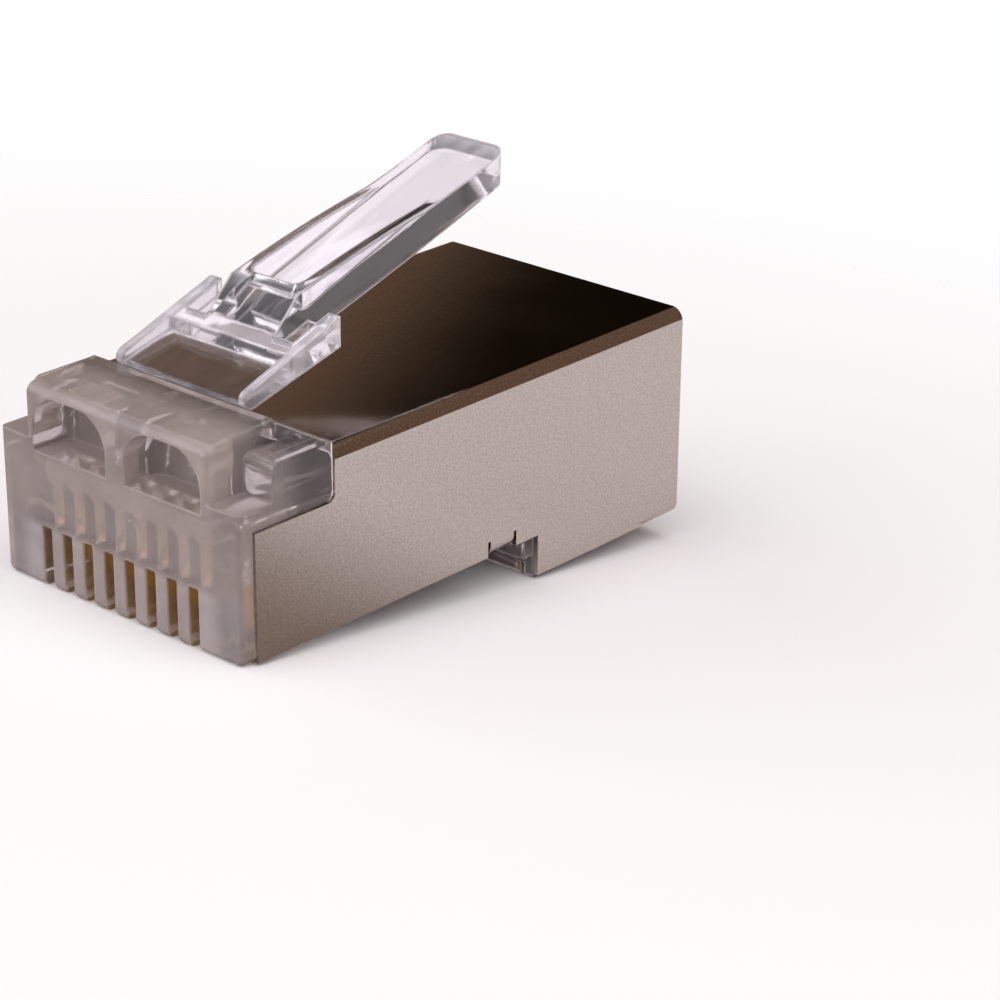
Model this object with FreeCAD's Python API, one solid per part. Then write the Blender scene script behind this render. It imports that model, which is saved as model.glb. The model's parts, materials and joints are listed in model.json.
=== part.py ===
"""Shielded 8-position modular plug for round cable.

The moulding, its latch, the folded shield and eight contact blades are modelled
in the moulding's own datum: x = 0 is the middle plane, y = 0 the front face and
z = 0 the contact face, with the latch on the +z side. The last step shifts every
piece so that z = 0 is the underside of the rear section and y = 0 is mid-length.
All sizes are in millimetres.
"""

import FreeCAD
import Part
import math
import os

from FreeCAD import Vector

# Overall sizes
plug_width = 11.70          # over the shield's sides
plug_length = 22.34         # front face to rear edge
front_height = 6.45         # contact face to the shield's top
rear_drop = 1.68            # how far the rear section hangs below the contact face
rear_start = 14.41          # front face to the rear section

# Shield, one folded sheet
sheet = 0.20                # sheet thickness
bend = 0.50                 # outside bend radius
sheet_gap = 0.02            # between sheet and moulding
core_round = 0.30           # moulding's corners inside the bends
shield_front = 0.64         # front edge of the shield's sides
top_edge = 4.28             # front edge of the shield's top
notch_floor = 4.61          # height of the side notch above the contact face
side_foot = 0.06            # lower edge of the front sides above the contact face
rear_foot = 0.18            # lower edge of the rear sides above the underside
strap_width = 2.10          # strap that closes the sheet under the rear end
ear_start = 11.90           # folded ears that hook over the contact face
ear_width = 1.20
ear_reach = 1.55            # from the side's outer face inwards
ear_relief = 0.14           # slit either side of an ear
notch_round = 0.30          # corner radius of the cut edges

# Moulding
flange_inset = 0.10         # front flange stands this far inside the shield's face
ledge_height = 5.35         # top of the full-width front block
shoulder_front = 1.55       # front face of the two shoulder blocks
shoulder_height = 6.68
shoulder_round = 0.30       # their upper front edges
front_round = 0.32          # lower front edge
side_round = 0.25           # upright front edges
foot_round = 0.35           # lower corners of the front block
nose_half = 4.43            # block that carries the latch
nose_height = 7.30          # its top at the front
nose_rise = 0.16            # its top climbs this much to the rear
nose_rear = 3.05
nose_round = 0.42           # upper front edge
nose_side_round = 0.30      # upright front edges
edge_break = 0.10           # small radius on moulded edges

# Two cored pockets in the nose
pocket_inner = 0.45         # pocket edge nearest the middle
pocket_width = 3.60
pocket_floor = 4.94
pocket_height = 2.06
pocket_depth = 1.55
pocket_dome = 1.25          # radius of its upper corners
pocket_back_round = 0.60    # radius of its upright inner corners

# Contacts and their slots
positions = 8
pitch = 1.02
slot_width = 0.50
slot_rear = 5.50
slot_height = 2.25          # slot opening in the front face
blade = 0.38                # blade thickness
blade_recess = 0.40         # exposed edge below the contact face
blade_front = 1.45
blade_end_gap = 0.10
blade_top = 2.35            # seat height
tip_height = 0.85           # insulation-piercing points above the seat
tip_count = 3
blade_round = 0.45

# Conductor tray with its eight half-round grooves, and cable cavity
groove_radius = 0.46
groove_height = 4.00        # the grooves' axes above the contact face
rib_top = 3.80              # the ribs between the grooves end here
tray_front = 1.10
tray_rear = 8.40
tray_round = 0.25           # its upper corners
cavity_half = 4.30
cavity_low = -0.40          # rear cavity floor, from the contact face
cavity_high = 5.55
cavity_round = 0.90
cavity_front = 15.80        # front of the deep rear cavity
jacket_rise_run = 1.00      # slope where the floor climbs out of the deep cavity
shelf_height = 1.35         # cavity floor over the contact face
shelf_front = 12.60
throat_low = 3.45
throat_high = 4.55
throat_roof_run = 3.20

# Conductor bar groove and trough on the contact face
bar_line = 12.05
bar_line_width = 0.22
bar_line_depth = 0.22
trough_width = 0.70
trough_depth = 0.55
trough_half = 4.15
trough_round = 0.30

# Jacket anchor window in the rear section
window_front = 16.30
window_rear = 19.60
window_half = 4.30
window_round = 0.40
anchor_half = 3.95
anchor_front = 17.05
anchor_depth = 1.75         # along the plug
anchor_sink = 0.55          # below the underside
anchor_thick = 0.95
anchor_lean = 0.30
anchor_web = 0.28

# Latch
hinge_y = 3.30
hinge_z = 7.66
root_radius = 0.32          # half the thickness of the hinge web
hinge_gap = 0.06            # running gap round the root
plate_half = 3.10
plate_rear = 7.42           # locking shoulders
plate_top_slope = 19.4      # degrees
plate_low_slope = 14.2
rail_width = 0.55
web_front = 3.42
web_rear = 5.15
web_thick = 0.34
band_width = 0.60
recess_depth = 0.50
lever_half = 1.60
lever_tip = 17.45
lever_round = 0.60
ramp_rear = 6.95            # the lever's front wall ends here
lever_top_front = 9.98
lever_top_mid = (10.30, 10.84)
lever_top_turn = (13.60, 11.50)   # the tip turns up from here
lever_top_late = (15.60, 12.06)
lever_top_tip = 12.70
lever_low_mid = (12.60, 9.94)
lever_low_tip = 11.56
lever_wall = 0.42
groove_rear = 14.40
groove_depth = 0.80         # at its front, fading out to the rear
groove_rear_floor = 11.76

# Worked-out values
half_width = plug_width / 2
core_half = half_width - sheet - sheet_gap
core_top = front_height - sheet - sheet_gap
flange_half = half_width - flange_inset
underside = -rear_drop
strap_front = plug_length - strap_width
first_pin = -pitch * (positions - 1) / 2


def box(x0, x1, y0, y1, z0, z1):
    """A box between two corners."""
    return Part.makeBox(x1 - x0, y1 - y0, z1 - z0, Vector(x0, y0, z0))


def slab(half, y0, y1, z0, z1):
    """A box centred on the middle plane."""
    return box(-half, half, y0, y1, z0, z1)


def side_prism(points, x0, x1):
    """Extrude a straight-sided outline of (y, z) points from x0 to x1."""
    wire = Part.makePolygon([Vector(x0, y, z) for y, z in points + points[:1]])
    return Part.Face(wire).extrude(Vector(x1 - x0, 0, 0))


def edges_along(shape, direction, near):
    """Straight edges parallel to direction whose middle passes the test near."""
    found = []
    for edge in shape.Edges:
        run = edge.Vertexes[-1].Point - edge.Vertexes[0].Point
        straight = run.Length > 1e-6 and close(run.Length, edge.Length)
        if straight and abs(run.normalize().dot(direction)) > 0.999 and near(edge.CenterOfMass):
            found.append(edge)
    return found


def rounded(shape, radius, direction, near):
    """Round the straight edges that run along direction and pass the test near."""
    return shape.makeFillet(radius, edges_along(shape, direction, near))


def close(a, b):
    return abs(a - b) < 1e-4


ALONG_X = Vector(1, 0, 0)
ALONG_Y = Vector(0, 1, 0)
ALONG_Z = Vector(0, 0, 1)


def section(half, low, high, low_round, high_round, y0, y1):
    """A tube section: a rectangle in x and z with its own corner radii, along y."""
    body = slab(half, y0, y1, low, high)
    if high_round > 0:
        body = rounded(body, high_round, ALONG_Y, lambda c: close(c.z, high))
    if low_round > 0:
        body = rounded(body, low_round, ALONG_Y, lambda c: close(c.z, low))
    return body


# ---------------------------------------------------------------- shield

def channel(y0, y1, low):
    """Top and two sides of the folded sheet, open below."""
    outer = section(half_width, low, front_height, 0, bend, y0, y1)
    inner = section(half_width - sheet, low - 1, front_height - sheet, 0, bend - sheet, y0, y1)
    return outer.cut(inner)


def hoop(y0, y1, low):
    """The sheet folded all the way round, with bends below as well."""
    outer = section(half_width, low, front_height, bend, bend, y0, y1)
    inner = section(half_width - sheet, low + sheet, front_height - sheet,
                    bend - sheet, bend - sheet, y0, y1)
    return outer.cut(inner)


def ear_pair():
    """Ears folded from the sides over the contact face."""
    ears = hoop(ear_start, ear_start + ear_width, 0)
    middle = slab(half_width - ear_reach, ear_start, ear_start + ear_width, -1, front_height / 2)
    above = slab(half_width, ear_start, ear_start + ear_width, bend, front_height + 1)
    ears = ears.cut(middle).cut(above)
    return rounded(ears, notch_round, ALONG_Z,
                   lambda c: close(abs(c.x), half_width - ear_reach))


def make_shield():
    front = channel(shield_front, rear_start, side_foot)
    relief = slab(half_width + 1, ear_start - ear_relief, ear_start + ear_width + ear_relief,
                  -1, bend + ear_relief)
    bridge = channel(ear_start, ear_start + ear_width, bend)
    front = front.cut(relief).fuse(bridge)
    front = front.fuse(ear_pair())
    rear = channel(rear_start, strap_front, underside + rear_foot)
    strap = hoop(strap_front, plug_length, underside)
    sheet_metal = front.multiFuse([rear, strap])
    notch = slab(half_width + 1, -1, top_edge, notch_floor, front_height + 1)
    sheet_metal = sheet_metal.cut(notch).removeSplitter()
    return rounded(sheet_metal, notch_round, ALONG_X,
                   lambda c: close(c.y, top_edge) and close(c.z, notch_floor))


# ---------------------------------------------------------------- moulding

def outer_moulding():
    """Front block, shoulders, nose and the deeper rear section, before coring."""
    front = slab(core_half, shield_front - sheet_gap, shoulder_front, 0, ledge_height)
    core = section(core_half, 0, core_top, 0, core_round, shoulder_front, plug_length)
    rear = section(core_half, underside, core_top, 0, core_round,
                   rear_start, strap_front - sheet_gap)
    tail = section(core_half, underside + sheet + sheet_gap, core_top, core_round, core_round,
                   rear_start, plug_length)
    block = slab(flange_half, 0, shield_front - sheet_gap, 0, ledge_height)
    ledge = slab(flange_half, 0, top_edge - sheet_gap, notch_floor + sheet_gap, ledge_height)
    shoulders = slab(flange_half, shoulder_front, top_edge - sheet_gap,
                     notch_floor + sheet_gap, shoulder_height)
    block = rounded(block, foot_round, ALONG_Y, lambda c: close(c.z, 0))
    body = core.multiFuse([front, rear, tail, block, ledge, shoulders]).removeSplitter()
    body = rounded(body, notch_round, ALONG_X,
                   lambda c: close(c.y, top_edge - sheet_gap)
                   and close(c.z, notch_floor + sheet_gap))
    body = rounded(body, side_round, ALONG_Z,
                   lambda c: close(c.y, 0) and close(abs(c.x), flange_half))
    body = rounded(body, shoulder_round, ALONG_X,
                   lambda c: close(c.z, shoulder_height) and close(c.y, shoulder_front))
    return body.cut(front_corner())


def front_corner():
    """What the large radius takes off the lower front edge."""
    waste = slab(half_width, -1, front_round, -1, front_round)
    return waste.cut(Part.makeCylinder(front_round, plug_width,
                                       Vector(-half_width, front_round, front_round), ALONG_X))


def make_nose():
    """The block above the slots that carries the latch."""
    outline = [
        (0, pocket_floor),
        (0, nose_height),
        (nose_rear, nose_height + nose_rise),
        (nose_rear, pocket_floor),
    ]
    nose = side_prism(outline, -nose_half, nose_half)
    nose = rounded(nose, nose_round, ALONG_X,
                   lambda c: close(c.y, 0) and close(c.z, nose_height))
    nose = rounded(nose, nose_side_round, ALONG_Z,
                   lambda c: close(c.y, 0) and close(abs(c.x), nose_half))
    return nose


def pocket(side):
    """One dome-topped pocket, cored from the front face."""
    x0 = pocket_inner
    if side < 0:
        x0 = -pocket_inner - pocket_width
    core = box(x0, x0 + pocket_width, -1, pocket_depth, pocket_floor, pocket_floor + pocket_height)
    dome = rounded(core, pocket_dome, ALONG_Y,
                   lambda c: close(c.z, pocket_floor + pocket_height))
    end = rounded(core, pocket_back_round, ALONG_Z, lambda c: close(c.y, pocket_depth))
    return dome.common(end)


def hinge_seat():
    """The hollow in the nose's rear that wraps the latch root with a running gap."""
    radius = root_radius + hinge_gap
    return Part.makeCylinder(radius, 2 * nose_half, Vector(-nose_half, hinge_y, hinge_z), ALONG_X)


def contact_slot(x):
    """Slot for one blade: through the front face and the contact face."""
    half = slot_width / 2
    front = box(x - half, x + half, -1, slot_rear, -1, slot_height)
    blade_room = box(x - half, x + half, blade_front - blade_end_gap, slot_rear,
                     -1, groove_height)
    return front.fuse(blade_room)


def conductor_tray():
    """Flat way for the conductors, with a half-round groove in its floor over each blade."""
    half = groove_radius - first_pin
    tray = slab(half, tray_front, tray_rear + 1, rib_top, groove_height + groove_radius)
    tray = rounded(tray, tray_round, ALONG_Y,
                   lambda c: close(c.z, groove_height + groove_radius))
    grooves = []
    for number in range(positions):
        start = Vector(first_pin + number * pitch, tray_front, groove_height)
        grooves.append(Part.makeCylinder(groove_radius, tray_rear - tray_front + 1,
                                         start, ALONG_Y))
    below = slab(half, tray_front, tray_rear + 1, groove_height - groove_radius, groove_height)
    return tray.multiFuse([groove.common(below) for groove in grooves])


def cable_cavity():
    """Rear cavity for the cable, narrowing to the throat of the conductor tray."""
    roof_y = tray_rear + throat_roof_run
    outline = [
        (tray_rear, throat_low),
        (tray_rear, throat_high),
        (roof_y, cavity_high),
        (plug_length + 1, cavity_high),
        (plug_length + 1, cavity_low),
        (cavity_front, cavity_low),
        (cavity_front - jacket_rise_run, shelf_height),
        (shelf_front, shelf_height),
    ]
    funnel = side_prism(outline, -cavity_half, cavity_half)
    rear = section(cavity_half, cavity_low, cavity_high, cavity_round, cavity_round,
                   tray_rear - 1, plug_length + 1)
    return funnel.common(rear)


def contact_face_details():
    """Conductor-bar line, trough before the step, and seats for the shield's ears."""
    line = slab(trough_half, bar_line, bar_line + bar_line_width, -1, bar_line_depth)
    trough = slab(trough_half, rear_start - trough_width, rear_start, -1, trough_depth)
    trough = rounded(trough, trough_round, ALONG_X,
                     lambda c: close(c.z, trough_depth) and c.y < rear_start - trough_width / 2)
    cuts = [line, trough]
    inner = half_width - ear_reach - sheet_gap
    for side in (-1, 1):
        x0 = inner if side > 0 else -half_width
        seat = box(x0, x0 + ear_reach + sheet_gap, ear_start - ear_relief,
                   ear_start + ear_width + ear_relief, -1, sheet + sheet_gap)
        cuts.append(seat)
    return cuts


def ear_bend_room():
    """Clears the inside of the ears' bends at the moulding's lower corners."""
    room = []
    depth = bend - sheet
    for side in (-1, 1):
        corner = box(core_half - depth, half_width, ear_start - ear_relief,
                     ear_start + ear_width + ear_relief, -1, sheet + sheet_gap + depth)
        keep = Part.makeCylinder(depth, ear_width + 2 * ear_relief,
                                 Vector(core_half - depth, ear_start - ear_relief,
                                        sheet + sheet_gap + depth), ALONG_Y)
        corner = corner.cut(keep)
        if side < 0:
            corner = corner.mirror(Vector(0, 0, 0), ALONG_X)
        room.append(corner)
    return room


def anchor_window():
    """Window over the cable jacket, open through to the cavity."""
    window = slab(window_half, window_front, window_rear, underside - 1, cavity_low + cavity_round)
    return rounded(window, window_round, ALONG_Z, lambda c: True)


def anchor_block():
    """Leaning anchor block that the crimp drives into the jacket, on its thin web."""
    top = underside + anchor_sink
    low = top + anchor_thick
    block = side_prism([
        (anchor_front, top),
        (anchor_front + anchor_depth, top),
        (anchor_front + anchor_depth + anchor_lean, low),
        (anchor_front + anchor_lean, low),
    ], -anchor_half, anchor_half)
    web = slab(anchor_half, window_front - anchor_web, anchor_front + anchor_lean,
               low - anchor_web, low)
    return block.fuse(web)


def make_housing():
    body = outer_moulding().fuse(make_nose()).removeSplitter()
    body = rounded(body, edge_break, ALONG_X,
                   lambda c: close(c.y, rear_start) and close(c.z, underside))
    body = body.cut(hinge_seat())
    cuts = [pocket(-1), pocket(1), conductor_tray(), cable_cavity(), anchor_window()]
    for number in range(positions):
        cuts.append(contact_slot(first_pin + number * pitch))
    cuts.extend(contact_face_details())
    cuts.extend(ear_bend_room())
    body = body.cut(Part.makeCompound(cuts))
    return body.fuse(anchor_block()).removeSplitter()


# ---------------------------------------------------------------- contacts

def make_contact(x):
    """One stamped blade with a rounded lower front corner and piercing points."""
    rear = slot_rear - blade_end_gap
    step = (rear - blade_front) / tip_count
    outline = [
        (blade_front, blade_recess),
        (rear, blade_recess),
        (rear, blade_top),
    ]
    for number in range(tip_count):
        right = rear - number * step
        outline.append((right - 0.25 * step, blade_top))
        outline.append((right - 0.50 * step, blade_top + tip_height))
        outline.append((right - 0.75 * step, blade_top))
    outline.append((blade_front, blade_top))
    stamped = side_prism(outline, x - blade / 2, x + blade / 2)
    return rounded(stamped, blade_round, ALONG_X,
                   lambda c: close(c.y, blade_front) and close(c.z, blade_recess))


# ---------------------------------------------------------------- latch

def slope_line(y, slope, offset):
    """Height at y of a line at a slope, tangent to the root at an offset from its axis."""
    angle = math.radians(slope)
    return hinge_z + (y - hinge_y) * math.tan(angle) + offset / math.cos(angle)


def plate_solid():
    """Hinge web, rails, cross band and locking shoulders."""
    def top(y):
        return slope_line(y, plate_top_slope, root_radius)

    def low(y):
        return slope_line(y, plate_low_slope, -root_radius)

    outline = [
        (hinge_y, low(hinge_y)),
        (hinge_y, top(hinge_y)),
        (plate_rear, top(plate_rear)),
        (plate_rear, low(plate_rear)),
    ]
    plate = side_prism(outline, -plate_half, plate_half)
    root = Part.makeCylinder(root_radius, 2 * plate_half,
                             Vector(-plate_half, hinge_y, hinge_z), ALONG_X)
    inner = plate_half - rail_width
    web_cut = side_prism([
        (web_front, low(web_front) + web_thick),
        (web_rear, low(web_rear) + web_thick),
        (web_rear, top(web_rear) + 1),
        (web_front, top(web_front) + 1),
    ], -inner, inner)
    plate = plate.fuse(root).cut(web_cut)
    recess_front = web_rear + band_width
    for side in (-1, 1):
        recess = side_prism([
            (recess_front, top(recess_front) - recess_depth),
            (plate_rear + 1, top(plate_rear + 1) - recess_depth),
            (plate_rear + 1, top(plate_rear + 1) + 1),
            (recess_front, top(recess_front) + 1),
        ], side * lever_half, side * inner)
        plate = plate.cut(recess)
    return plate


def lever_solid():
    """The lever: curved above and below, rounded in plan, grooved from above."""
    band_rear = web_rear + band_width
    start = (band_rear, slope_line(band_rear, plate_top_slope, root_radius) - edge_break)
    foot = (band_rear, slope_line(band_rear, plate_low_slope, -root_radius) + edge_break)
    tip_y = lever_tip

    def at(point):
        return Vector(-lever_half, point[0], point[1])

    top_front = (ramp_rear, lever_top_front)
    top_tip = (tip_y, lever_top_tip)
    low_tip = (tip_y, lever_low_tip)
    low_front = (plate_rear, slope_line(plate_rear, plate_low_slope, -root_radius))
    edges = [
        Part.makeLine(at(start), at(top_front)),
        Part.Arc(at(top_front), at(lever_top_mid), at(lever_top_turn)).toShape(),
        Part.Arc(at(lever_top_turn), at(lever_top_late), at(top_tip)).toShape(),
        Part.makeLine(at(top_tip), at(low_tip)),
        Part.Arc(at(low_tip), at(lever_low_mid), at(low_front)).toShape(),
        Part.makeLine(at(low_front), at(foot)),
        Part.makeLine(at(foot), at(start)),
    ]
    face = Part.Face(Part.Wire(edges))
    lever = face.extrude(Vector(2 * lever_half, 0, 0))
    lever = rounded(lever, lever_round, ALONG_Z,
                    lambda c: close(c.y, tip_y) and close(abs(c.x), lever_half))
    groove_front = ramp_rear + lever_wall
    groove = side_prism([
        (groove_front, lever_top_front - groove_depth),
        (groove_rear, groove_rear_floor),
        (groove_rear, lever_top_tip + 1),
        (groove_front, lever_top_tip + 1),
    ], -lever_half + lever_wall, lever_half - lever_wall)
    groove = rounded(groove, lever_wall, ALONG_Z, lambda c: close(c.y, groove_front))
    return lever.cut(groove)


def make_latch():
    return plate_solid().fuse(lever_solid()).removeSplitter()


# ---------------------------------------------------------------- build

def place(shape):
    """Shift from the moulding's datum to the part's frame."""
    return shape.translated(Vector(0, -plug_length / 2, rear_drop))


def build():
    pieces = {
        "housing": make_housing(),
        "shield": make_shield(),
        "latch": make_latch(),
    }
    for number in range(positions):
        pieces["contact_%d" % (number + 1)] = make_contact(first_pin + number * pitch)
    return {name: place(shape) for name, shape in pieces.items()}


os.makedirs("parts", exist_ok=True)
for name, shape in build().items():
    bounds = shape.BoundBox
    print("%-10s solids %d  valid %s  volume %8.3f  x %.2f..%.2f  y %.2f..%.2f  z %.2f..%.2f" % (
        name, len(shape.Solids), shape.isValid(), shape.Volume,
        bounds.XMin, bounds.XMax, bounds.YMin, bounds.YMax, bounds.ZMin, bounds.ZMax))
    shape.exportStep("parts/" + name + ".step")
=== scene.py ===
# %% [markdown]
# # A shielded modular plug
#
# The plug is a clear polycarbonate moulding inside a folded nickel-plated sheet, with a springy
# latch on top and eight gold-plated blades in the front. Its solids come from a CAD model at
# real size, with every slot, pocket, groove and rounded edge already cut, so this lesson never
# moves, scales or reshapes them. Only the latch is shown by a copy, with its web and rails cut
# slimmer. What is left is the part that the eye judges first: what light does in clear plastic, on
# plated sheet and on gold. So the lesson lays a table and spends the rest on three finishes, two
# lamps and a room to reflect.
#
# Everything is in metres, in the CAD model's own frame: +Z is up towards the latch, +Y runs from
# the front face to the cable end, and the origin lies under the middle of the plug. A plug is only
# 22 mm long, so lengths are written as a number times `mm`.

# %% Load the fixed frame
import json
import math

import bmesh
import bpy
from mathutils import Matrix, Vector


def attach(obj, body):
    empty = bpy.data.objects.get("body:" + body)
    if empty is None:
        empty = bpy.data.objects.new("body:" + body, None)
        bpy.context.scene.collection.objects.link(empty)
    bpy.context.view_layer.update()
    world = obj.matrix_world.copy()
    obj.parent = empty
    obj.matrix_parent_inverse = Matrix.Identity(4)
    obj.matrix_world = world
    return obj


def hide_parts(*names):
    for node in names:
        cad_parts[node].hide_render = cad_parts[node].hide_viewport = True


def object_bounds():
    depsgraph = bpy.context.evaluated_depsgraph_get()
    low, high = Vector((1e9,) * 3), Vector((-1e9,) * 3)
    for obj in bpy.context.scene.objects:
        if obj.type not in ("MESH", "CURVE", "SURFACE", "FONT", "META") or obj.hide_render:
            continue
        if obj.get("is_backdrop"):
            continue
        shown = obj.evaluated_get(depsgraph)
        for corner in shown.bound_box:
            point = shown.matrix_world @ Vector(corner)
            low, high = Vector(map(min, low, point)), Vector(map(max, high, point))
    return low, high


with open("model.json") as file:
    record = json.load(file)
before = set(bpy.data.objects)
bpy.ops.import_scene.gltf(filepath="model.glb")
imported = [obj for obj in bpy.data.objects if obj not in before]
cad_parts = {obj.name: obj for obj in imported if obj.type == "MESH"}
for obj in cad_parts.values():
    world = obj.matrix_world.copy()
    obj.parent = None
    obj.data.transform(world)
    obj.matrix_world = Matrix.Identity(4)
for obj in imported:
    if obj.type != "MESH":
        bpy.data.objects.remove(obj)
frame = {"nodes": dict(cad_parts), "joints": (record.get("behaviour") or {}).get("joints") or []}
nodes = frame["nodes"]
cad_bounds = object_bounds()
mm = 0.001
print("nodes:", ", ".join(sorted(nodes)))
print("CAD box in mm:", [round(v / mm, 2) for corner in cad_bounds for v in corner])

# %% [markdown]
# ## Writing shader maths as Python
#
# A material in Blender is a graph of nodes, and a graph written node by node is hard to read. A
# small class can wrap one output socket and overload the arithmetic operators, so that an
# expression such as `1 - mask * 0.5` adds the Math nodes by itself. Two shapes come up again and
# again, so they get names of their own: `ramp`, a smooth step from 0 to 1 between two values, and
# `size`, the value without its sign, which makes a mask the same on the left and on the right.

# %% A socket that can be added and multiplied


class Signal:
    """One output socket of a shader graph, used like a number."""

    def __init__(self, graph, socket):
        self.graph = graph
        self.socket = socket

    def maths(self, operation, first, second=0.0, clamp=False):
        """A Math node on two values."""
        settings = {"operation": operation, "use_clamp": clamp}
        return self.graph.node("ShaderNodeMath", settings, {0: first, 1: second})

    def __add__(self, other):
        return self.maths("ADD", self, other)

    __radd__ = __add__

    def __mul__(self, other):
        return self.maths("MULTIPLY", self, other)

    __rmul__ = __mul__

    def __sub__(self, other):
        return self.maths("SUBTRACT", self, other)

    def __rsub__(self, other):
        return self.maths("SUBTRACT", other, self)

    def ramp(self, low, high):
        """0 below low, 1 above high, smooth between."""
        settings = {"interpolation_type": "SMOOTHSTEP"}
        values = {"Value": self, "From Min": low, "From Max": high}
        return self.graph.node("ShaderNodeMapRange", settings, values)

    def limited(self):
        """The same value, kept between 0 and 1."""
        return self.maths("ADD", self, 0.0, clamp=True)

    def size(self):
        """The value without its sign."""
        return self.maths("ABSOLUTE", self)


print("Signal is ready")

# %% [markdown]
# ## One method for every other node
#
# Every other node comes from one method, which takes the node's type, its settings and what goes
# into its sockets. Settings go first, because some of them change which sockets a node has. A
# socket takes either a link, when it is given a Signal, or a plain value. Colours can't be added
# with a Math node, which would turn them grey, so they go through a Mix node instead.
#
# Sockets are picked by name where a node gives each its own. The maths and mixing nodes give
# several the same name, so there a number says which is meant: 0 and 1 are what a Math node
# works on, and in a Mix node 6 and 7 are the two colours and output 2 is the mixed one.

# %% A graph that nodes are added to


class Graph:
    """The node tree of a material or of the world."""

    def __init__(self, tree):
        self.tree = tree

    def node(self, kind, settings=None, values=None, output=0):
        """Add a node and return one of its outputs."""
        made = self.tree.nodes.new(kind)
        for name, value in (settings or {}).items():
            setattr(made, name, value)
        for name, value in (values or {}).items():
            self.feed(made.inputs[name], value)
        return Signal(self, made.outputs[output])

    def feed(self, socket, value):
        """Link a signal to a socket, or set a plain number, vector or colour."""
        if isinstance(value, Signal):
            self.tree.links.new(value.socket, socket)
        elif socket.type == "RGBA":
            socket.default_value = (*value, 1)
        else:
            socket.default_value = value

    def mix_colours(self, factor, first, second):
        """The first colour at factor 0, the second at 1."""
        values = {0: factor, 6: first, 7: second}
        return self.node("ShaderNodeMix", {"data_type": "RGBA"}, values, 2)

    def show_mixed(self, factor, first, second):
        """Let the surface show the first shader at factor 0, the second at 1."""
        values = {0: factor, 1: first, 2: second}
        mixed = self.node("ShaderNodeMixShader", None, values)
        self.feed(self.tree.nodes["Material Output"].inputs["Surface"], mixed)


print("Graph is ready")

# %% [markdown]
# ## A starting point for every finish
#
# Each finish is a Principled shader. What is the same all over the piece is set on the shader's
# own sockets. What changes over the surface comes from Object coordinates, the piece's own x, y
# and z in metres, so it stays fixed to the piece however it is seen or moved. The latch turns on
# its hinge, and its flow waves and cloud turn with it.
#
# Noise is scaled by its grain size in metres. That keeps each finish honest: a grain of 0.08 mm
# is what rolled sheet has, and the same noise at ten times the size would look like stone.

# %% Start a finish


def new_finish(name, constants):
    """A material with a Principled shader, its graph and that shader."""
    material = bpy.data.materials.new(name)
    material.use_nodes = True
    graph = Graph(material.node_tree)
    shader = material.node_tree.nodes["Principled BSDF"]
    for socket, value in constants.items():
        graph.feed(shader.inputs[socket], value)
    return material, graph, shader


def own_coordinates(graph):
    """The piece's own x, y and z as three signals."""
    place = graph.node("ShaderNodeTexCoord", output="Object")
    apart = graph.node("ShaderNodeSeparateXYZ", None, {"Vector": place}).socket.node
    return [Signal(graph, socket) for socket in apart.outputs]


def surface_noise(graph, size, detail, stretch=(1, 1, 1)):
    """Noise whose grains are about size metres across, in the piece's own coordinates."""
    place = graph.node("ShaderNodeTexCoord", output="Object")
    scaled = graph.node("ShaderNodeMapping", None, {"Vector": place, "Scale": stretch})
    values = {"Vector": scaled, "Scale": 1 / size, "Detail": detail}
    return graph.node("ShaderNodeTexNoise", None, values)


def raise_surface(graph, shader, height, distance, strength):
    """Feed a height into the shader's normal through a Bump node."""
    values = {"Height": height, "Distance": distance, "Strength": strength}
    graph.feed(shader.inputs["Normal"], graph.node("ShaderNodeBump", None, values))


print("each finish starts as a Principled shader on the piece's own coordinates")

# %% [markdown]
# ## Soft edges
#
# A mould never leaves a knife edge. The moulding's edges are rounded by a tenth of a millimetre
# or so, and each catches a thin line of light, which is how the eye finds the shape of something
# clear. The large rounds are in the solids. For the small ones a Bevel modifier would have to cut
# the CAD mesh, which stays as it is, so the rounding is done in the shader: a Bevel node bends the
# normal near an edge. Where that soft normal and the true one disagree there is an edge, and their
# dot product gives a mask of it for nothing.

# %% Round the edges in the shader
bevel_samples = 6
rim_shows = (0.01, 0.16)


def dot_product(graph, first, second):
    """How far two directions agree: 1 when they are the same, 0 at a right angle."""
    settings = {"operation": "DOT_PRODUCT"}
    return graph.node("ShaderNodeVectorMath", settings, {0: first, 1: second}, "Value")


# Besides bending the normal, the edge mask is used below to paint a pale highlight along each edge.
def soft_edges(graph, radius):
    """A shading normal that rounds every edge by radius, and a mask of those edges."""
    soft = graph.node("ShaderNodeBevel", {"samples": bevel_samples}, {"Radius": radius})
    true = graph.node("ShaderNodeNewGeometry", output="True Normal")
    agree = dot_product(graph, soft, true)
    return soft, (1 - agree).ramp(*rim_shows)


print("edges are rounded with", bevel_samples, "samples")
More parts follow.
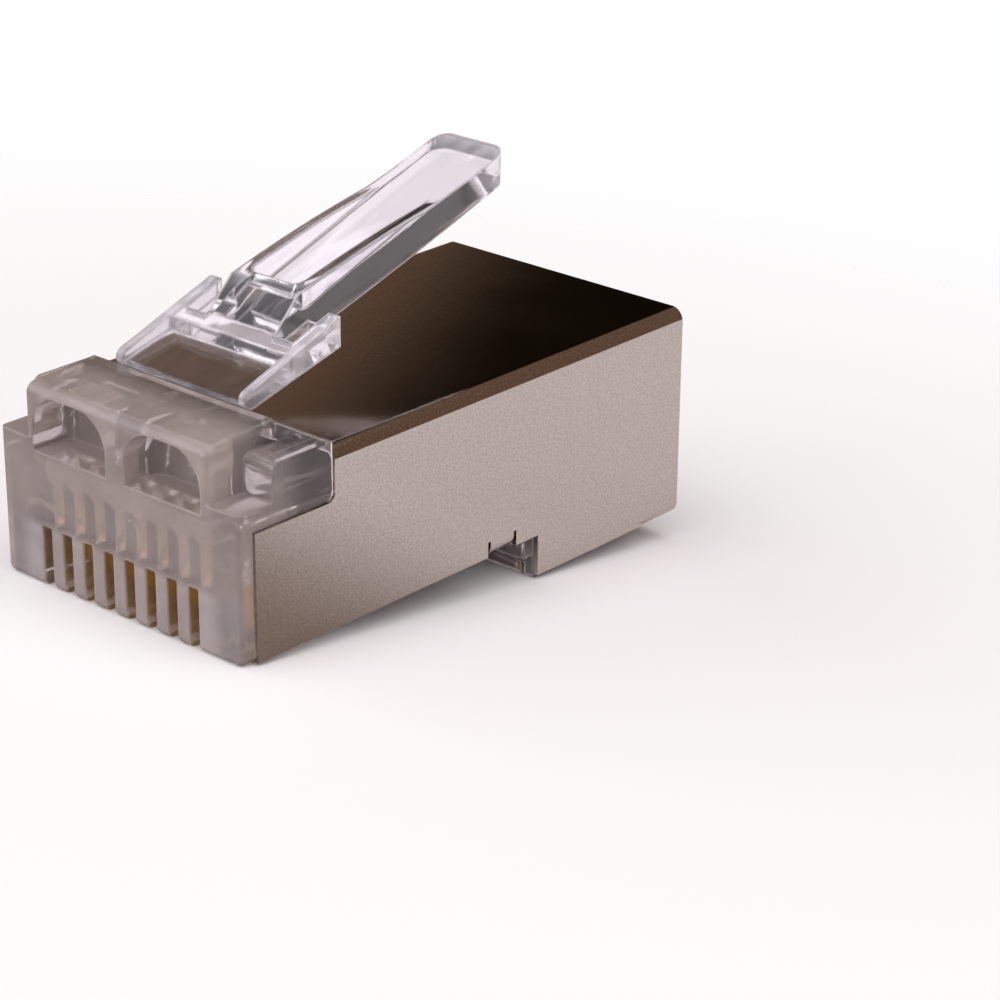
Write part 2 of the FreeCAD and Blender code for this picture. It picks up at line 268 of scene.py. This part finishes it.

# %% [markdown]
# ## Where clear plastic is not clear
#
# Clear plastic is only clear where one wall stands alone. In the nose and at both ends of the front
# face several walls lie one behind another, each with its own faint haze, and together they look
# milky. In the front the cloud also carries painted light and shade. The ribs between the slots
# stand close to the table, and their cloud is painted pale for its light. The cloud in the nose
# above them is painted greyer, as shade. The plastic behind the front face is painted with the gold
# light that the blades reflect into it. The latch is a single thin part. It is clear in the web
# behind the root, and pale where the rails, the cross band and the thick tip pile up plastic again.
#
# Light could be left to find all this by itself, with a volume inside the solid, but a volume is
# slow, is lost in most exports, and would need the real haze of each wall. A map of where the cloud
# sits says the same in a few lines, with the light and shade painted in. Each function below returns
# four things: how much cloud there is, how far it is painted grey shade, how far it is painted gold
# light from the blades, and how strong a pale highlight is painted along the edges.
#
# Every border is a pair of lengths, where it begins and where it is complete, because a cloud has
# no sharp edge. Lengths across count from the middle and heights from the plug's underside. Lengths
# along the plug count from the front face in the housing, and from the hinge in the latch.

# %% Say where the housing's cloud sits
front_face = cad_bounds[0].y
skin_ends, ends_end = (0.03 * mm, 0.17 * mm), (0.97 * mm, 2.17 * mm)
nose_ends, blades_end = (1.57 * mm, 3.17 * mm), (4.97 * mm, 5.57 * mm)
slots_top, nose_starts = (3.7 * mm, 4.2 * mm), (3.4 * mm, 4.8 * mm)
slots_side, ribs_side, ends_start = (4.0 * mm, 4.3 * mm), (3.9 * mm, 5.1 * mm), (3.7 * mm, 4.8 * mm)
# Strength of the pale highlight painted along the housing's edges.
housing_painted_highlight = 0.16


def housing_cloud(x, y, z):
    """Cloudy in the nose, the ends and the ribs; painted grey shade in the nose, painted gold light
    round the slots.
    """
    depth, across = y - front_face, x.size()
    raised, low = z.ramp(*nose_starts), 1 - z.ramp(*slots_top)
    behind_skin = depth.ramp(*skin_ends)
    nose = raised * (1 - depth.ramp(*nose_ends))
    ends = across.ramp(*ends_start) * (1 - depth.ramp(*ends_end)) * (1 - nose)
    slots = behind_skin * (1 - depth.ramp(*blades_end)) * low * (1 - across.ramp(*slots_side))
    ribs = (1 - behind_skin) * low * (1 - across.ramp(*ribs_side))
    # The ribs' pale cloud is painted light from the table, the raised nose is painted grey shade,
    # and the slots are painted with the blades' gold light.
    amount = 0.10 + 0.34 * nose + 0.18 * ends + 0.18 * slots + 0.30 * ribs
    return amount, raised, slots, housing_painted_highlight


print("the housing's cloud counts from y", round(front_face / mm, 2), "mm")

# %% Say where the latch's cloud sits
hinge_y, hinge_z = frame["joints"][0]["pos_m"][1:]
web_starts, rails_start = (-0.13 * mm, 0.47 * mm), (2.70 * mm, 2.82 * mm)
band_starts, band_ends = (1.77 * mm, 1.97 * mm), (2.27 * mm, 2.57 * mm)
# The last value is the strength of the pale highlight painted along the latch's edges.
tip_starts, latch_painted_highlight = (13.17 * mm, 14.27 * mm), 0.60


def latch_cloud(x, y, z):
    """Clear at the root, pale along the rails, the cross band and the lever's tip."""
    along = y - hinge_y
    rails = x.size().ramp(*rails_start)
    band = along.ramp(*band_starts) * (1 - along.ramp(*band_ends))
    tip = along.ramp(*tip_starts)
    amount = 0.02 + 0.28 * rails + 0.22 * band + 0.30 * tip
    # The last value paints a highlight along the edges, from just behind the root onwards.
    return amount, 0.0, 0.0, latch_painted_highlight * along.ramp(*web_starts)


print("the latch's cloud counts from y", round(hinge_y / mm, 2), "mm")

# %% [markdown]
# ## Clear polycarbonate
#
# Polycarbonate bends light more than window glass does, with an index of 1.585, and that is what
# gives the latch its bright and dark bands. The mould leaves faint flow waves about 2 mm long, which
# show as a slow wobble in whatever is seen through the plastic.
#
# One Principled shader can't be clear and milky at once. Turning its transmission down makes it
# look painted, and turning its roughness up makes frosted glass. So there are two: a polished one
# that passes all its light, and a cloudy one that scatters most of it. A Mix Shader chooses between
# them by the cloud at that place, which is the amount above, unevened a little by the flow waves,
# plus more pale cloud along the edges, which is a painted highlight. Both share one normal: the
# waves on top of the soft edges. The flow is about 0.5 on average, so that 0.7 + 0.6 * flow makes
# the cloud uneven without making it thicker.

# %% Make the plastic's waves
plastic_index = 1.585
flow_length, flow_height, flow_strength = 1.8 * mm, 0.05 * mm, 0.7


def flow_waves(graph, edge_radius):
    """The flow as a value, the normal that it gives with the soft edges, and the edge mask."""
    flow = surface_noise(graph, flow_length, detail=2.0, stretch=(1, 0.45, 1))
    soft, rim = soft_edges(graph, edge_radius)
    values = {"Height": flow, "Distance": flow_height, "Strength": flow_strength, "Normal": soft}
    return flow, graph.node("ShaderNodeBump", None, values), rim


print("clear plastic has an index of", plastic_index)

# %% Make the clear plastic
cloudy_roughness, cloudy_clearness = 0.30, 0.25
# The blades' gold light and the nose's grey shade, both painted into the cloud's colour.
painted_gold_light, painted_shade_grey = (0.66, 0.42, 0.16), (0.60, 0.515, 0.495)


def make_clear_plastic(name, tint, cloud_tint, cloud_at, edge_radius):
    """Clear plastic mixed with a cloud that carries painted shade, painted gold light and a painted
    highlight along the edges.
    """
    constants = {"Base Color": tint, "IOR": plastic_index, "Transmission Weight": 1.0}
    material, graph, clear = new_finish(name, constants)
    flow, waves, rim = flow_waves(graph, edge_radius)
    graph.feed(clear.inputs["Normal"], waves)
    graph.feed(clear.inputs["Roughness"], 0.02 + 0.06 * flow)
    amount, grey, gold_light_share, painted_edge_highlight = cloud_at(*own_coordinates(graph))
    # The cloud's colour paints grey shade where the plastic is raised and gold light round the
    # slots.
    colour = graph.mix_colours(grey, cloud_tint, painted_shade_grey)
    colour = graph.mix_colours(gold_light_share, colour, painted_gold_light)
    values = {"Base Color": colour, "IOR": plastic_index, "Normal": waves,
              "Roughness": cloudy_roughness, "Transmission Weight": cloudy_clearness}
    cloudy = graph.node("ShaderNodeBsdfPrincipled", None, values)
    # More pale cloud along the edges is a painted highlight.
    cloud = amount * (0.7 + 0.6 * flow) + painted_edge_highlight * rim
    graph.show_mixed(cloud.limited(), Signal(graph, clear.outputs["BSDF"]), cloudy)
    return material


print("its cloud passes", cloudy_clearness, "of the light")

# %% [markdown]
# The housing and the latch are one moulding on the real plug. They get two finishes all the same,
# a shaded and a lit copy of one plastic. The thick housing sees the taupe shield on every side, so
# its tint and cloud are painted grey and brown as shade, while the thin latch stands in the open and
# its tint and cloud are painted the room's cool, lilac white as light.

# %% Mix the housing's and the latch's plastic
clear_housing = make_clear_plastic("housing_plastic", tint=(0.97, 0.92, 0.90),
                                   cloud_tint=(0.90, 0.81, 0.82), cloud_at=housing_cloud,
                                   edge_radius=0.14 * mm)
clear_latch = make_clear_plastic("latch_plastic", tint=(0.98, 0.97, 1.00),
                                 cloud_tint=(0.98, 0.94, 1.00), cloud_at=latch_cloud,
                                 edge_radius=0.16 * mm)
print("clear plastic:", clear_housing.name, clear_latch.name)

# %% [markdown]
# ## Nickel plate on thin sheet
#
# The shield is bright nickel over brass. Nickel is warmer than chrome, so its reflections turn a
# little taupe. The rolled sheet has a fine grain under the plate, and the plate doesn't fill it:
# close to, the flat sides are a mass of paler and deeper specks, each about 0.08 mm across.
#
# Bump alone can't show such specks, because the sides reflect a wide, even part of the room, and
# a slightly turned normal still finds the same colour there. So the grain also changes the base
# colour, which on a metal is how much it reflects. A slower noise changes the roughness, because
# plating is never equally bright over a whole sheet.

# %% Make the nickel plate
nickel_deep = (0.50, 0.45, 0.42)
nickel_pale = (0.69, 0.64, 0.61)
sheet_grain, plating_patch = 0.08 * mm, 3.0 * mm
grain_height, grain_strength = 0.002 * mm, 0.25


def make_nickel():
    """Bright plate with fine specks and slightly uneven polish."""
    constants = {"Base Color": nickel_pale, "Metallic": 1.0}
    material, graph, shader = new_finish("nickel_plate", constants)
    grain = surface_noise(graph, sheet_grain, detail=4.0)
    colour = graph.mix_colours(grain.ramp(0.25, 0.75), nickel_deep, nickel_pale)
    graph.feed(shader.inputs["Base Color"], colour)
    patches = surface_noise(graph, plating_patch, detail=3.0)
    graph.feed(shader.inputs["Roughness"], 0.05 + 0.05 * patches + 0.03 * grain)
    raise_surface(graph, shader, grain, grain_height, grain_strength)
    return material


nickel = make_nickel()
print("nickel plate:", nickel.name)

# %% [markdown]
# ## Gold plate on the blades
#
# The blades are stamped, then plated with a thin layer of gold over nickel. Stamping leaves fine
# lines along the blade, and the plate is a deep yellow that turns brown where it reflects shade.
# The noise is stretched along y for the lines, and it drives roughness more than height, because
# a blade is only 0.3 mm wide and its lines are seen as streaks, not as ridges.

# %% Make the gold plate
gold_yellow = (1.0, 0.60, 0.13)
stamping_line, line_height, line_strength = 0.12 * mm, 0.004 * mm, 0.6


def make_gold():
    """Deep yellow plate with fine lines along the blade."""
    constants = {"Base Color": gold_yellow, "Metallic": 1.0}
    material, graph, shader = new_finish("gold_plate", constants)
    lines = surface_noise(graph, stamping_line, detail=2.0, stretch=(1, 0.15, 1))
    graph.feed(shader.inputs["Roughness"], 0.32 + 0.16 * lines)
    raise_surface(graph, shader, lines, line_height, line_strength)
    return material


gold = make_gold()
print("gold plate:", gold.name)

# %% [markdown]
# ## Dress the pieces
#
# A finish goes onto a CAD node by its material slot, which leaves the mesh alone. All nodes that
# aren't named here are blades.

# %% Dress the CAD nodes
finishes = {"housing": clear_housing, "latch": clear_latch, "shield": nickel}
for name, node in nodes.items():
    node.data.materials.clear()
    node.data.materials.append(finishes.get(name, gold))
print("dressed", len(nodes), "nodes,", len(nodes) - len(finishes), "of them in gold")

# %% [markdown]
# ## The latch's thin web
#
# Just behind its root the latch is no more than a thin web between two slim rails, so that it can
# bend. That web is what makes the plate look like a small dark window: the shield shows through
# it. The CAD latch has such a window, but it turns on a hinge, and for that it has a full round root
# in front of the window and stouter rails. What is shown can be as slim as the real moulding.
#
# A CAD mesh stays as it is, so the latch is copied and the copy stands for it. A Boolean needs to
# know inside from outside, so the copy's loose triangles are merged into one closed skin first. Its
# tolerances suit parts of everyday size, so the cut is made in millimetres, and the result is
# brought back to metres.

# %% Copy the latch as one closed skin
same_point = 0.0005 * mm


def report_shape(name, shape):
    """Say how many faces a shape has, and whether its skin is closed."""
    loose = sum(not edge.is_manifold for edge in shape.edges)
    print(name, "has", len(shape.faces), "faces and", loose, "open edges")


def add_object(name, shape):
    """Turn a bmesh into an object in the scene."""
    mesh = bpy.data.meshes.new(name)
    shape.to_mesh(mesh)
    shape.free()
    made = bpy.data.objects.new(name, mesh)
    bpy.context.scene.collection.objects.link(made)
    return made


def closed_copy(node, name):
    """A new object with a merged copy of a CAD mesh, in millimetres."""
    shape = bmesh.new()
    shape.from_mesh(node.data)
    bmesh.ops.remove_doubles(shape, verts=shape.verts, dist=same_point)
    bmesh.ops.scale(shape, vec=Vector((1, 1, 1)) / mm, verts=shape.verts)
    report_shape(name, shape)
    return add_object(name, shape)


latch_moulding = closed_copy(nodes["latch"], "latch_moulding")

# %% [markdown]
# The cutter is a cube that one matrix scales, leans and puts in place. Leaning it by the slope of
# the web's underside, instead of turning it, keeps its ends upright, as the walls of the window are,
# while its floor stays a web's thickness above the underside.

# %% Shape the cutter
root_radius, web_thickness = 0.32, 0.32
underside_angle = math.radians(14.2)
window_front, window_rear = hinge_y / mm - 0.58, hinge_y / mm + 1.87
window_width, window_length, window_tall = 5.58, window_rear - window_front, 2.0


def web_top(y):
    """Height of the web's top, in millimetres."""
    underside = (hinge_z + (y * mm - hinge_y) * math.tan(underside_angle)) / mm
    return underside - root_radius / math.cos(underside_angle) + web_thickness


def make_window_cutter():
    """A leaning box over the web, as wide as the gap between the rails."""
    middle = (window_front + window_rear) / 2
    place = Matrix.Translation((0, middle, web_top(middle) + window_tall / 2))
    lean = Matrix.Identity(4)
    lean[2][1] = math.tan(underside_angle)
    scale = Matrix.Diagonal((window_width, window_length, window_tall, 1))
    shape = bmesh.new()
    bmesh.ops.create_cube(shape, size=1.0)
    bmesh.ops.transform(shape, matrix=place @ lean @ scale, verts=shape.verts)
    return add_object("window_cutter", shape)


window_cutter = make_window_cutter()
print("window", window_width, "by", round(window_length, 2), "mm")

# %% [markdown]
# The Boolean runs as a modifier and its result is taken as a plain mesh, so nothing live is left on
# the latch. Flat runs of triangles are dissolved, because a smooth normal averaged over slivers
# wobbles, and in clear plastic every wobble shows. The normals that came along with the CAD mesh no
# longer fit the cut shape, so they go. Edges sharper than 35 degrees stay sharp, which keeps the
# rounds of the root and the tip smooth and all corners crisp.

# %% Cut the window and stand in for the latch
smooth_below = math.radians(35)
flat_within = math.radians(0.2)


def cut_away(piece, cutter):
    """Take the cutter out of the piece and remove the cutter."""
    cut = piece.modifiers.new("cut", "BOOLEAN")
    cut.operation = "DIFFERENCE"
    cut.solver = "EXACT"
    cut.object = cutter
    ready = piece.evaluated_get(bpy.context.evaluated_depsgraph_get())
    shape = bmesh.new()
    shape.from_mesh(ready.data)
    piece.modifiers.clear()
    bpy.data.objects.remove(cutter)
    return shape


def finish_latch(piece, shape):
    """Clean the cut shape, bring it back to metres and shade it."""
    bmesh.ops.dissolve_limit(shape, angle_limit=flat_within, verts=shape.verts, edges=shape.edges)
    report_shape(piece.name, shape)
    print("its volume is", round(shape.calc_volume(), 2), "mm3")
    bmesh.ops.scale(shape, vec=Vector((1, 1, 1)) * mm, verts=shape.verts)
    shape.to_mesh(piece.data)
    shape.free()
    normals = piece.data.attributes.get("custom_normal")
    if normals:
        piece.data.attributes.remove(normals)
    piece.data.shade_smooth()
    piece.data.set_sharp_from_angle(angle=smooth_below)
    piece.data.materials.clear()
    piece.data.materials.append(clear_latch)


finish_latch(latch_moulding, cut_away(latch_moulding, window_cutter))
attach(latch_moulding, "latch")
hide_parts("latch")
print("the latch is shown by", latch_moulding.name)

# %% [markdown]
# ## Where the plug rests
#
# The plug's rear section is deeper than its front, so on a table it tips a few degrees nose-down
# and rests on two edges. The plug can't be turned, because it stays in the CAD frame, but the table
# can. The table is the line under all the plug's points that passes below its middle: one edge of
# the lower outline of the plug seen from the side. Walking along the points from front to rear and
# dropping each one that the next lets the line pass beneath leaves just that outline.

# %% Find the resting plane


def resting_line(points, middle):
    """Two (y, z) points of the lower outline, one each side of the middle."""
    chain = []
    for point in sorted(points):
        while len(chain) > 1:
            (y1, z1), (y2, z2) = chain[-2], chain[-1]
            if (y2 - y1) * (point[1] - z1) - (z2 - z1) * (point[0] - y1) > 0:
                break
            chain.pop()
        chain.append(point)
    for first, second in zip(chain, chain[1:]):
        if first[0] <= middle <= second[0]:
            return first, second
    return chain[0], chain[-1]


side_points = {(round(v.co.y, 6), round(v.co.z, 6))
               for name in nodes if name != "latch" for v in nodes[name].data.vertices}
rest_front, rest_rear = resting_line(side_points, 0.0)
rest_slope = (rest_rear[1] - rest_front[1]) / (rest_rear[0] - rest_front[0])
rest_tilt = math.atan(rest_slope)
print("rests on y, z in mm:", [round(v / mm, 2) for v in rest_front + rest_rear],
      "tilt", round(math.degrees(rest_tilt), 2), "degrees")

# %% [markdown]
# ## The table's surface
#
# The table is a pale matt sheet, and it does three jobs. Seen directly it is a light grey that
# keeps the plug's soft shadow. Mirrored in the shield it carries a painted reflection that gives the
# flat sides their colour: brown by the front, as if something dark stood beyond the table, and paler
# to the rear. Seen through the plastic it is painted a paler lilac white, which paints light into
# the plastic. A Light Path node tells these rays apart, and each gets its own colour. It says what
# kind of ray arrives, not where the camera stands, so nothing slides when the view changes.
#
# A rough surface still has a faint shine at grazing angles, which here would turn the far table
# grey, so its specular level is 0. A table this large would also end in a hard line against the
# white behind it, and a slanting one, because it is the table that leans here and not the plug.
# So for the camera the table thins out to nothing a few plug lengths away, and from below it isn't
# there at all, which lets the plug's underside be looked at.

# %% Colour the table
# The lilac colour is painted light: the table as seen through the plastic, paler than it is.
floor_grey, floor_lilac = (0.94, 0.94, 0.94), (0.98, 0.95, 1.00)
# A painted reflection: the shield sees the table brown by the front and paler to the rear.
painted_reflection_front, painted_reflection_rear = (0.31, 0.26, 0.23), (0.77, 0.73, 0.73)
painted_reflection_turns, table_thins = (-9 * mm, 6 * mm), (16 * mm, 75 * mm)


def thin_out(graph, shader):
    """Let the table fade with distance for the camera, and vanish from below."""
    camera_ray = graph.node("ShaderNodeLightPath", output="Is Camera Ray")
    from_below = graph.node("ShaderNodeNewGeometry", output="Backfacing")
    place = graph.node("ShaderNodeTexCoord", output="Object")
    away = graph.node("ShaderNodeVectorMath", {"operation": "LENGTH"}, {0: place}, "Value")
    gone = (away.ramp(*table_thins) * camera_ray + from_below).limited()
    nothing = graph.node("ShaderNodeBsdfTransparent")
    graph.show_mixed(gone, Signal(graph, shader.outputs["BSDF"]), nothing)


def make_floor_finish():
    """Pale and matt, with a painted reflection in the shield and painted lilac light in the plastic.
    """
    constants = {"Roughness": 1.0, "Specular IOR Level": 0.0}
    material, graph, shader = new_finish("pale_floor", constants)
    mirrored = graph.node("ShaderNodeLightPath", output="Is Glossy Ray")
    through_plastic = graph.node("ShaderNodeLightPath", output="Is Transmission Ray")
    length = own_coordinates(graph)[1]
    # A painted reflection, brown by the front and paler to the rear, seen only in the shield.
    shade = graph.mix_colours(length.ramp(*painted_reflection_turns), painted_reflection_front, painted_reflection_rear)
    colour = graph.mix_colours(mirrored, floor_grey, shade)
    colour = graph.mix_colours(through_plastic, colour, floor_lilac)
    graph.feed(shader.inputs["Base Color"], colour)
    thin_out(graph, shader)
    return material


pale_floor = make_floor_finish()
print("table finish:", pale_floor.name)

# %% Lay the table
floor_half, floor_drop = 1.5, 0.01 * mm
floor_height = rest_front[1] - rest_front[0] * rest_slope - floor_drop


def make_floor():
    """A wide pale sheet under the two resting edges."""
    place = Matrix.Translation((0, 0, floor_height)) @ Matrix.Rotation(rest_tilt, 4, "X")
    shape = bmesh.new()
    bmesh.ops.create_grid(shape, x_segments=1, y_segments=1, size=floor_half)
    bmesh.ops.transform(shape, matrix=place, verts=shape.verts)
    floor = add_object("floor", shape)
    floor.data.materials.append(pale_floor)
    floor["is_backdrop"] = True


make_floor()
print("table laid", round(floor_height / mm, 2), "mm above the origin, half size", floor_half, "m")

# %% [markdown]
# ## Soft light
#
# One broad lamp overhead, nearly twice as wide as it is far, lights the table and everything on it
# evenly and leaves only a soft shadow close under the plug. A smaller one in front, a little to the
# left, lifts the front face, the nose and the pockets, which the overhead lamp only grazes.
#
# A third lamp behind the plug would be the usual rim light. Here it would be seen by total
# reflection inside the lever and burn its side white, so the latch gets its highlights from the
# room instead.
#
# A lamp's power is worked out from its radiance and its area, so its size can be changed without
# changing how bright the plug is.

# %% Light the plug
centre = (cad_bounds[0] + cad_bounds[1]) / 2


def add_lamp(name, direction, distance, width, height, radiance, colour):
    """A soft rectangular lamp that faces the plug."""
    direction = Vector(direction).normalized()
    data = bpy.data.lights.new(name, "AREA")
    data.shape = "RECTANGLE"
    data.size = width
    data.size_y = height
    data.energy = radiance * math.pi * width * height
    data.color = colour
    lamp = bpy.data.objects.new(name, data)
    lamp.location = centre + direction * distance
    lamp.rotation_euler = direction.to_track_quat("Z", "Y").to_euler()
    bpy.context.scene.collection.objects.link(lamp)
    return lamp


lamps = [add_lamp("overhead", direction=(0.36, -0.12, 1.0), distance=0.45, width=0.80,
                  height=0.80, radiance=1.32, colour=(1.0, 0.985, 0.995)),
         add_lamp("front", direction=(-0.20, -0.85, 0.35), distance=0.40, width=0.30,
                  height=0.24, radiance=2.0, colour=(1.0, 0.96, 0.94))]
print("lamps:", {lamp.name: round(lamp.data.energy, 3) for lamp in lamps}, "watts")

# %% [markdown]
# ## What the plug reflects
#
# Plated sheet and clear plastic have little colour of their own: they show the room. The room here
# is painted in the world, as a colour for each direction that a ray can leave in. A room built of
# planes would do too, but it would cast its own shadows and stand in the way of other cameras.
#
# - Most of it is a soft taupe, which fills the shadows.
# - Behind the plug stands a dark wall. The shield's top mirrors it, black towards the rear corner
#   and brown towards the left and right, where some light falls on the wall.
# - Rays that have come through the plastic find that wall pale when they leave low down. Without
#   this the clear front would show nothing but a dark wall, and the plastic would look smoked.
# - On the left a bright window gives the plastic its long pale highlights.
# - High on the left a small skylight lies just where the lever's sloping top mirrors it. It is kept
#   for mirrored rays, so it lights nothing.
# - The camera itself sees plain white behind the table.

# %% Choose the room's colours
room_light = (0.40, 0.37, 0.38)
wall_brown = (0.165, 0.104, 0.068)
wall_black = (0.006, 0.004, 0.002)
wall_pale = (0.62, 0.58, 0.63)
window_light = (1.90, 1.82, 1.90)
skylight = (2.10, 2.02, 2.20)
plain_white = (1, 1, 1)
print("room:", room_light, "wall:", wall_brown, "to", wall_black)

# %% [markdown]
# A direction is compared with another by their dot product: 1 when they agree, 0 at a right angle.
# A ramp on it draws a round patch on the inside of the sky. A narrow ramp close to 1 is a small
# patch with a sharp edge, and a wide ramp is a broad glow. So each patch below is a direction and
# the two values between which it rises.

# %% Paint the wall
low_left, left_glow = (-1, -0.5, -0.8), (-0.004, 0.046)
right, right_glow = (1, 0, 0), (-0.48, -0.30)
up, above_low_wall = (0, 0, 1), (0.15, 0.45)


def patch(graph, way, direction, rises):
    """A round patch of the sky that rises from 0 to 1 towards a direction."""
    return dot_product(graph, way, Vector(direction).normalized()).ramp(*rises)


def paint_wall(graph, way, through_plastic):
    """Black between two brown glows, and pale low down for rays out of the plastic."""
    glow = patch(graph, way, low_left, left_glow) + patch(graph, way, right, right_glow)
    wall = graph.mix_colours(glow.limited(), wall_black, wall_brown)
    low = 1 - patch(graph, way, up, above_low_wall)
    return graph.mix_colours(through_plastic * low, wall, wall_pale)


print("the wall glows towards", low_left, "and", right)

# %% Paint the surroundings
behind_plug, wall_rises = (0, 1, 0), (0.10, 0.36)
window_side, window_rises = (-0.90, -0.40, 0.15), (0.70, 0.95)
lever_sky, sky_rises = (-0.62, 0.28, 0.735), (0.990, 0.996)


def make_world():
    """White for the camera, a taupe room with one dark wall for every other ray."""
    world = bpy.data.worlds.new("studio")
    world.use_nodes = True
    graph = Graph(world.node_tree)
    way = graph.node("ShaderNodeTexCoord", output="Generated")
    camera_ray = graph.node("ShaderNodeLightPath", output="Is Camera Ray")
    mirrored = graph.node("ShaderNodeLightPath", output="Is Glossy Ray")
    through_plastic = graph.node("ShaderNodeLightPath", output="Is Transmission Ray")
    wall = paint_wall(graph, way, through_plastic)
    room = graph.mix_colours(patch(graph, way, behind_plug, wall_rises), room_light, wall)
    room = graph.mix_colours(patch(graph, way, window_side, window_rises), room, window_light)
    sky = patch(graph, way, lever_sky, sky_rises) * mirrored * (1 - through_plastic)
    room = graph.mix_colours(sky, room, skylight)
    seen = graph.mix_colours(camera_ray, room, plain_white)
    graph.feed(world.node_tree.nodes["Background"].inputs["Color"], seen)
    bpy.context.scene.world = world
    return world


world = make_world()
bpy.context.scene.view_settings.view_transform = "Standard"
print("world painted with", len(world.node_tree.nodes), "nodes")

# %% [markdown]
# ## The camera
#
# A small thing is shown from close by through a long lens, which keeps its edges nearly parallel.
# This camera stands about 11 cm from the plug, in front of its front right corner and above it, so
# that the front face, the latch, the top and one long side all show. Its place and the directions
# it faces are given as vectors. The three axes are made exactly square to each other before they
# become a matrix, because a camera whose axes lean would shear the plug.

# %% Set the camera
camera_place = Vector((69.4, -71.17, 45.38)) * mm
camera_right = Vector((0.749, 0.662, 0.008)).normalized()
camera_forward = Vector((-0.606, 0.690, -0.397)).normalized()
camera_lens, sensor_width, nearest_seen = 109.19, 36, 1 * mm


def add_camera():
    """A long lens, a hand's width from the plug, that looks down on its front right corner."""
    data = bpy.data.cameras.new("camera")
    data.lens = camera_lens
    data.sensor_width = sensor_width
    data.clip_start = nearest_seen
    camera = bpy.data.objects.new("camera", data)
    back = -camera_forward
    right_side = (camera_right - back * camera_right.dot(back)).normalized()
    upward = back.cross(right_side)
    turn = Matrix((right_side, upward, back)).transposed().to_4x4()
    camera.matrix_world = Matrix.Translation(camera_place) @ turn
    bpy.context.scene.collection.objects.link(camera)
    bpy.context.scene.camera = camera


add_camera()
print("camera at", [round(v / mm, 1) for v in camera_place], "mm,",
      round((camera_place - centre).length / mm), "mm from the plug's middle")

# %% [markdown]
# ## Check the size
#
# Nothing above may change how big the plug is. The box of the CAD solids was measured right after
# loading, and the box of what is shown is measured now. The largest difference between them is
# printed, and it should be zero to the last digit: the visible pieces are the CAD solids themselves,
# and the latch's copy only had material taken out of it, nowhere near its ends.

# %% Compare the sizes and finish
visual_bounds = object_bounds()
largest_change = max(abs(a - b) for first, second in zip(cad_bounds, visual_bounds)
                     for a, b in zip(first, second))
print("sizes written, largest change in mm:", round(largest_change / mm, 4))
